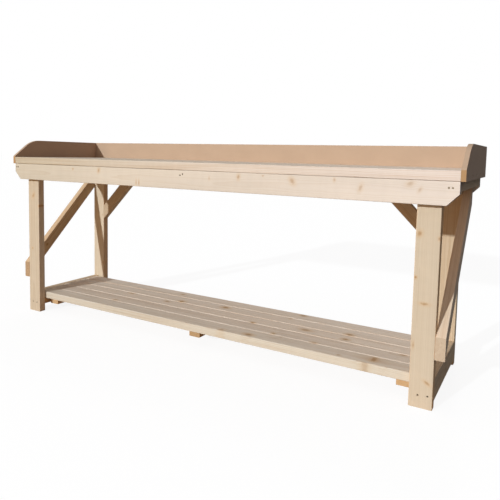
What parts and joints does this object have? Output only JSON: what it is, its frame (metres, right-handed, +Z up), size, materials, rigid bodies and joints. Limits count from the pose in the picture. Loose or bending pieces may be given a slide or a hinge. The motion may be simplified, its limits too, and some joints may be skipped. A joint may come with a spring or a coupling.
{
  "type": "wooden workbench",
  "caption": "Long planed-softwood workbench with a boarded worktop, a low MDF back and sloped side panels, diagonally braced legs and a slatted shelf near the floor.",
  "frame": {"origin": "on the floor, under the middle of the bench's bounding box", "axes": "+X along the bench to its right end seen from the front, +Y from the front to the back, +Z up"},
  "size_m": [2.4766, 0.6432, 1.01],
  "materials": {
    "pine": "planed, untreated softwood with knots and rounded long edges",
    "mdf": "raw medium-density fibreboard, smooth faces and sawn edges",
    "screw_steel": "zinc plated heads of countersunk wood screws, shown by the visual model only"
  },
  "bodies": {
    "root": {"worktop_board_1": "pine", "worktop_board_2": "pine", "worktop_board_3": "pine", "worktop_board_4": "pine", "worktop_board_5": "pine", "worktop_board_6": "pine", "worktop_board_7": "pine", "front_apron": "pine", "back_apron": "pine", "left_top_rail": "pine", "right_top_rail": "pine", "middle_top_rail": "pine", "front_left_leg": "pine", "front_right_leg": "pine", "back_left_leg": "pine", "back_right_leg": "pine", "left_bottom_rail": "pine", "right_bottom_rail": "pine", "left_shelf_ledger": "pine", "right_shelf_ledger": "pine", "shelf_slat_1": "pine", "shelf_slat_2": "pine", "shelf_slat_3": "pine", "shelf_slat_4": "pine", "shelf_slat_5": "pine", "shelf_bearer_left": "pine", "shelf_bearer_middle": "pine", "shelf_bearer_right": "pine", "left_end_brace": "pine", "right_end_brace": "pine", "left_knee_brace": "pine", "right_knee_brace": "pine", "left_side_panel": "mdf", "right_side_panel": "mdf", "back_panel": "mdf"}
  },
  "joints": []
}
